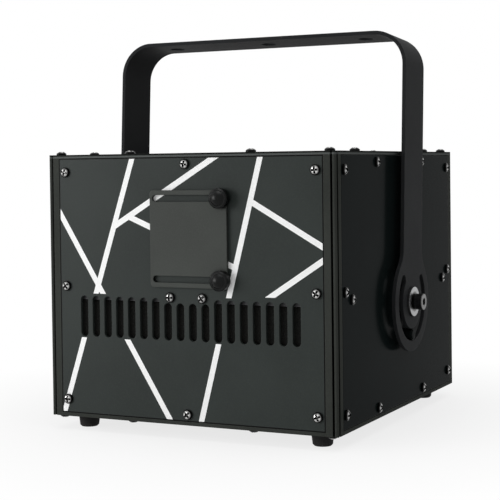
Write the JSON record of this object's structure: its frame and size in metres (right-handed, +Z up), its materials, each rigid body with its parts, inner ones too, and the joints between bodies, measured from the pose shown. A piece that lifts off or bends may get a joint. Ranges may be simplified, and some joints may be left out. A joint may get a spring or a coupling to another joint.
{
  "type": "laser show projector",
  "caption": "Box-shaped laser show projector on a tilting yoke, with a sliding beam shutter, air slots, scanner, lasers and rear sockets.",
  "frame": {"origin": "on the floor plane under the feet, at the middle of the overall width and depth", "axes": "+X to the right seen from the front, +Y to the back, +Z up; the beam leaves along -Y"},
  "size_m": [0.287, 0.3001, 0.3199],
  "materials": {
    "panel_paint": "satin",
    "cover_paint": "satin",
    "yoke_paint": "satin",
    "screw_steel": "satin",
    "pivot_steel": "satin",
    "washer_steel": "satin",
    "foot_rubber": "matte",
    "shutter_paint": "satin",
    "black_plastic": "matte",
    "gloss_black": "gloss",
    "socket_metal": "satin",
    "bare_aluminium": "satin",
    "black_anodised": "satin",
    "window_glass": "polished",
    "mirror_coat": "polished",
    "board_green": "satin",
    "supply_case": "satin",
    "brass": "satin",
    "key_steel": "polished",
    "data_shell": "satin"
  },
  "bodies": {
    "housing": {"front_panel": "panel_paint", "rear_panel": "panel_paint", "side_panel_left": "panel_paint", "side_panel_right": "panel_paint", "base_plate": "cover_paint", "top_cover": "cover_paint", "corner_post_front_left": "cover_paint", "corner_post_front_right": "cover_paint", "corner_post_rear_left": "cover_paint", "corner_post_rear_right": "cover_paint", "front_panel_screws": "screw_steel", "rear_panel_screws": "screw_steel", "side_panel_screws": "screw_steel", "top_cover_screws": "screw_steel", "base_plate_screws": "screw_steel", "optics_plate_screws": "screw_steel", "fan_screws": "screw_steel", "socket_screws": "screw_steel", "pivot_bolts": "pivot_steel", "pivot_nut_bars": "pivot_steel", "stop_pegs": "pivot_steel", "pivot_washers": "washer_steel", "fan_guard": "washer_steel", "rubber_feet": "foot_rubber", "pivot_spacers": "black_plastic", "fan_frame": "black_plastic", "power_inlet": "black_plastic", "menu_unit": "black_plastic", "signal_in_socket": "socket_metal", "signal_out_socket": "socket_metal", "frame_rails": "bare_aluminium", "scanner_block": "bare_aluminium", "mirror_mounts": "bare_aluminium", "optics_plate": "black_anodised", "laser_red": "black_anodised", "laser_green": "black_anodised", "laser_blue": "black_anodised", "galvo_x_motor": "black_anodised", "galvo_y_motor": "black_anodised", "window_glass": "window_glass", "combining_mirrors": "mirror_coat", "galvo_driver_board": "board_green", "control_board": "board_green", "power_supply": "supply_case", "board_standoffs": "brass", "key_switch": "key_steel", "show_data_socket": "data_shell"},
    "yoke": {"yoke": "yoke_paint"},
    "shutter": {"shutter_plate": "shutter_paint"},
    "knob_upper": {"shutter_knob_upper": "black_plastic"},
    "knob_lower": {"shutter_knob_lower": "black_plastic"},
    "rocker": {"power_rocker": "gloss_black"},
    "key_plug": {"key": "key_steel"},
    "button_1": {"menu_button_1": "black_plastic"},
    "button_2": {"menu_button_2": "black_plastic"},
    "button_3": {"menu_button_3": "black_plastic"},
    "button_4": {"menu_button_4": "black_plastic"},
    "rotor": {"fan_rotor": "black_plastic"},
    "galvo_x": {"galvo_x_mirror": "mirror_coat"},
    "galvo_y": {"galvo_y_mirror": "mirror_coat"}
  },
  "joints": [
    {"name": "yoke_tilt", "type": "hinge", "parent": "housing", "child": "yoke", "pos_m": [0, 0.004, 0.098], "axis": [1, 0, 0], "range_deg": [-125.5, 132.5]},
    {"name": "shutter_slide", "type": "slide", "parent": "housing", "child": "shutter", "axis": [1, 0, 0], "range_m": [0, 0.057]},
    {"name": "knob_upper_turn", "type": "hinge", "parent": "housing", "child": "knob_upper", "pos_m": [0.0318, -0.143, 0.1862], "axis": [0, -1, 0], "range_deg": [0, 360]},
    {"name": "knob_lower_turn", "type": "hinge", "parent": "housing", "child": "knob_lower", "pos_m": [0.0318, -0.143, 0.1238], "axis": [0, -1, 0], "range_deg": [0, 360]},
    {"name": "rocker_tilt", "type": "hinge", "parent": "housing", "child": "rocker", "pos_m": [0.08, 0.137, 0.0725], "axis": [-1, 0, 0], "range_deg": [0, 20]},
    {"name": "key_turn", "type": "hinge", "parent": "housing", "child": "key_plug", "pos_m": [0.08, 0.14, 0.121], "axis": [0, -1, 0], "range_deg": [0, 90]},
    {"name": "button_1_press", "type": "slide", "parent": "housing", "child": "button_1", "axis": [0, -1, 0], "range_m": [0, 0.0012], "stiffness_N_per_m": 600, "springref_m": -0.0006},
    {"name": "button_2_press", "type": "slide", "parent": "housing", "child": "button_2", "axis": [0, -1, 0], "range_m": [0, 0.0012], "stiffness_N_per_m": 600, "springref_m": -0.0006},
    {"name": "button_3_press", "type": "slide", "parent": "housing", "child": "button_3", "axis": [0, -1, 0], "range_m": [0, 0.0012], "stiffness_N_per_m": 600, "springref_m": -0.0006},
    {"name": "button_4_press", "type": "slide", "parent": "housing", "child": "button_4", "axis": [0, -1, 0], "range_m": [0, 0.0012], "stiffness_N_per_m": 600, "springref_m": -0.0006},
    {"name": "fan_spin", "type": "hinge", "parent": "housing", "child": "rotor", "pos_m": [-0.058, 0.124, 0.06525], "axis": [0, 1, 0], "continuous": true},
    {"name": "galvo_x_turn", "type": "hinge", "parent": "housing", "child": "galvo_x", "pos_m": [0, -0.092, 0.1385], "axis": [0, 1, 0], "range_deg": [-12, 12]},
    {"name": "galvo_y_turn", "type": "hinge", "parent": "housing", "child": "galvo_y", "pos_m": [0, -0.092, 0.155], "axis": [1, 0, 0], "range_deg": [-12, 12]}
  ]
}
